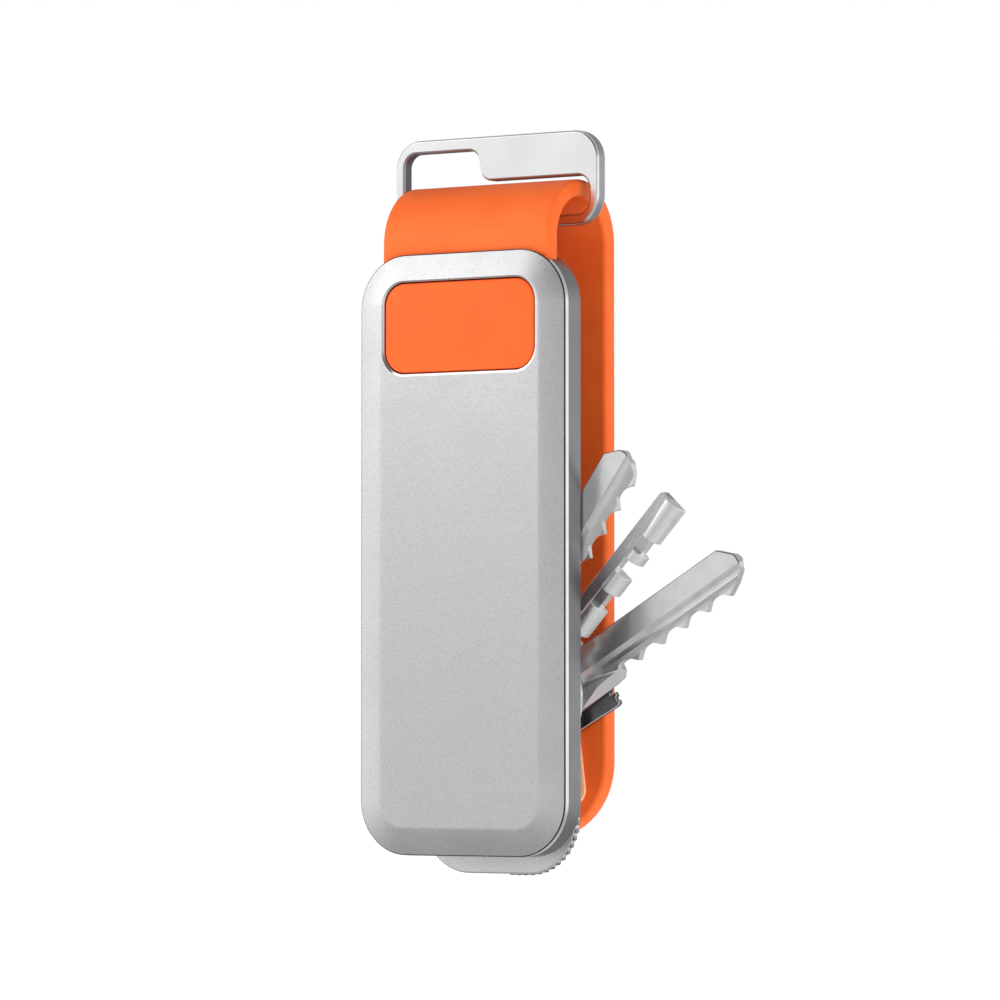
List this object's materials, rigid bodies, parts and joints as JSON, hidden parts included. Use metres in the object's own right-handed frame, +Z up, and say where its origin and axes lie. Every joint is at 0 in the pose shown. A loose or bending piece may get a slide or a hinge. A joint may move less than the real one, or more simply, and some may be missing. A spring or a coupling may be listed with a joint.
{
  "type": "key organiser",
  "caption": "Slim key organiser: metal housing with push-button latch, silicone strap through a hanging loop, keys and a folding tool fanned out on a clamped post.",
  "frame": {"origin": "hanging point: middle of the underside of the loop's top bar, in its tall window", "axes": "+Z up from the housing to the loop, +Y from the front cover to the strap's back, +X to the right as seen from the front"},
  "size_m": [0.0586, 0.0204, 0.1087],
  "materials": {
    "loop_metal": "fine satin with bright edges",
    "blasted_aluminium": "bead-blasted",
    "satin_aluminium": "satin with a polished bevel",
    "black_rubber": "matt",
    "black_nylon": "matt",
    "orange_button": "soft matt",
    "orange_silicone": "smooth matt",
    "peach_nylon": "matt",
    "key_steel": "nickel plate, lightly worn",
    "dark_steel": "dark worn steel",
    "tool_steel": "blasted with a polished edge",
    "fastener_steel": "turned",
    "spring_steel": "rolled"
  },
  "bodies": {
    "hanger": {"hanger_loop": "loop_metal"},
    "organiser": {"front_cover": "blasted_aluminium", "cover_gasket": "black_rubber", "housing_frame": "satin_aluminium", "cover_screw_1": "fastener_steel", "cover_screw_2": "fastener_steel", "cover_screw_3": "fastener_steel", "cover_screw_4": "fastener_steel", "button_guide": "black_nylon", "latch_spring": "spring_steel", "strap": "orange_silicone", "strap_tongue": "spring_steel", "tongue_rivet_1": "fastener_steel", "tongue_rivet_2": "fastener_steel", "tongue_rivet_3": "fastener_steel", "pivot_post": "fastener_steel", "pivot_screw": "fastener_steel", "cup_washer": "fastener_steel", "strap_pad": "peach_nylon", "key_washer_1": "spring_steel", "key_washer_2": "spring_steel", "key_washer_3": "spring_steel", "key_washer_4": "spring_steel", "key_washer_5": "spring_steel", "key_washer_6": "spring_steel"},
    "release": {"release_button": "orange_button", "latch_carrier": "spring_steel"},
    "first_key": {"key_1": "key_steel"},
    "round_key": {"key_2": "key_steel"},
    "tool": {"multi_tool": "tool_steel"},
    "long_key": {"key_3": "key_steel"},
    "thin_key": {"key_4": "key_steel"},
    "flat_key": {"key_5": "dark_steel"}
  },
  "joints": [
    {"name": "loop_swing", "type": "hinge", "parent": "hanger", "child": "organiser", "pos_m": [0.00985, 0, -0.0111], "axis": [1, 0, 0], "range_deg": [-35, 35]},
    {"name": "release_press", "type": "slide", "parent": "organiser", "child": "release", "axis": [0, 1, 0], "range_m": [0, 0.0007], "stiffness_N_per_m": 2500, "springref_m": -0.0003, "deforming": ["latch_spring"]},
    {"name": "first_key_turn", "type": "hinge", "parent": "organiser", "child": "first_key", "pos_m": [0.00985, 0, -0.0853], "axis": [0, 1, 0], "range_deg": [-35.3, 144.7]},
    {"name": "round_key_turn", "type": "hinge", "parent": "organiser", "child": "round_key", "pos_m": [0.00985, 0, -0.0853], "axis": [0, 1, 0], "range_deg": [-43, 137]},
    {"name": "tool_turn", "type": "hinge", "parent": "organiser", "child": "tool", "pos_m": [0.00985, 0, -0.0853], "axis": [0, 1, 0], "range_deg": [0, 180]},
    {"name": "long_key_turn", "type": "hinge", "parent": "organiser", "child": "long_key", "pos_m": [0.00985, 0, -0.0853], "axis": [0, 1, 0], "range_deg": [-59.6, 120.4]},
    {"name": "thin_key_turn", "type": "hinge", "parent": "organiser", "child": "thin_key", "pos_m": [0.00985, 0, -0.0853], "axis": [0, 1, 0], "range_deg": [-63, 117]},
    {"name": "flat_key_turn", "type": "hinge", "parent": "organiser", "child": "flat_key", "pos_m": [0.00985, 0, -0.0853], "axis": [0, 1, 0], "range_deg": [-61, 119]}
  ]
}
